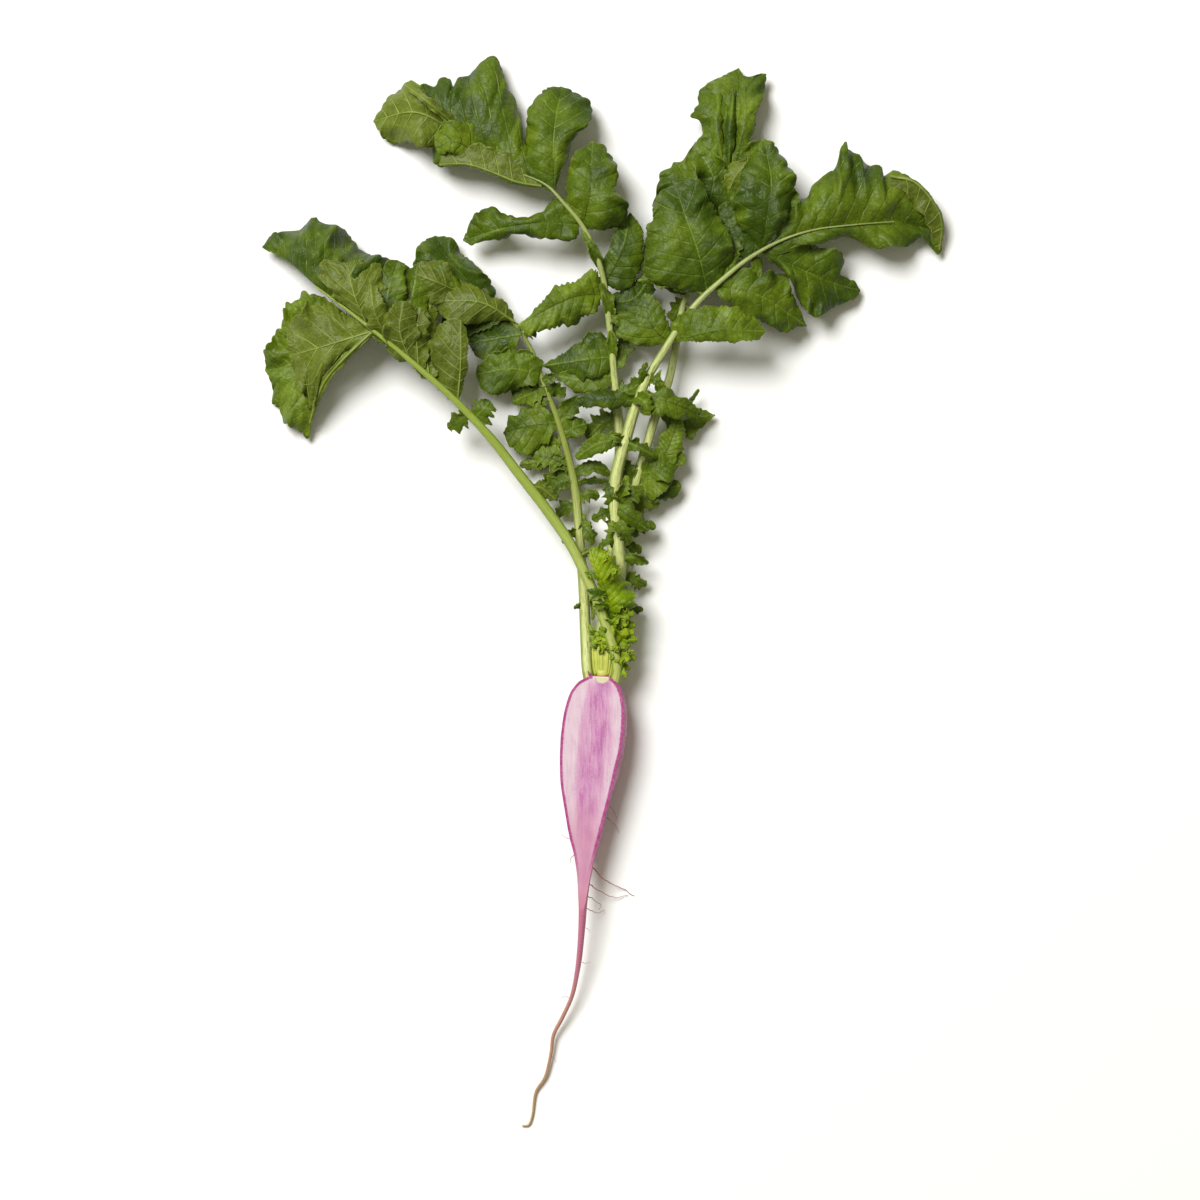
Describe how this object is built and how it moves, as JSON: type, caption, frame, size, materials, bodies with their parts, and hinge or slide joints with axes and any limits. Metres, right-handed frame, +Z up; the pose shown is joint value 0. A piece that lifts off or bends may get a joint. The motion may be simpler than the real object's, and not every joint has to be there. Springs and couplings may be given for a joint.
{
  "type": "radish",
  "caption": "Half of a long pink radish, cut lengthwise and lying cut face up, with its thin tail root and its leafy green top still on.",
  "frame": {"origin": "centre of the small flat spot on the skin side, under the widest part of the root, that it rests on", "axes": "+Y from the root along the plant to the leaf tips, +Z up out of the surface it lies on, +X to the right seen from above"},
  "size_m": [0.3779, 0.5881, 0.0397],
  "materials": {
    "root": "satin",
    "leaf": "satin",
    "young_leaf": "satin"
  },
  "bodies": {
    "root": {"radish_root": "root", "left_leaf": "leaf", "inner_left_leaf": "leaf", "upper_left_leaf": "leaf", "upper_middle_leaf": "leaf", "upper_right_leaf": "leaf", "crown_heart": "young_leaf"}
  },
  "joints": []
}
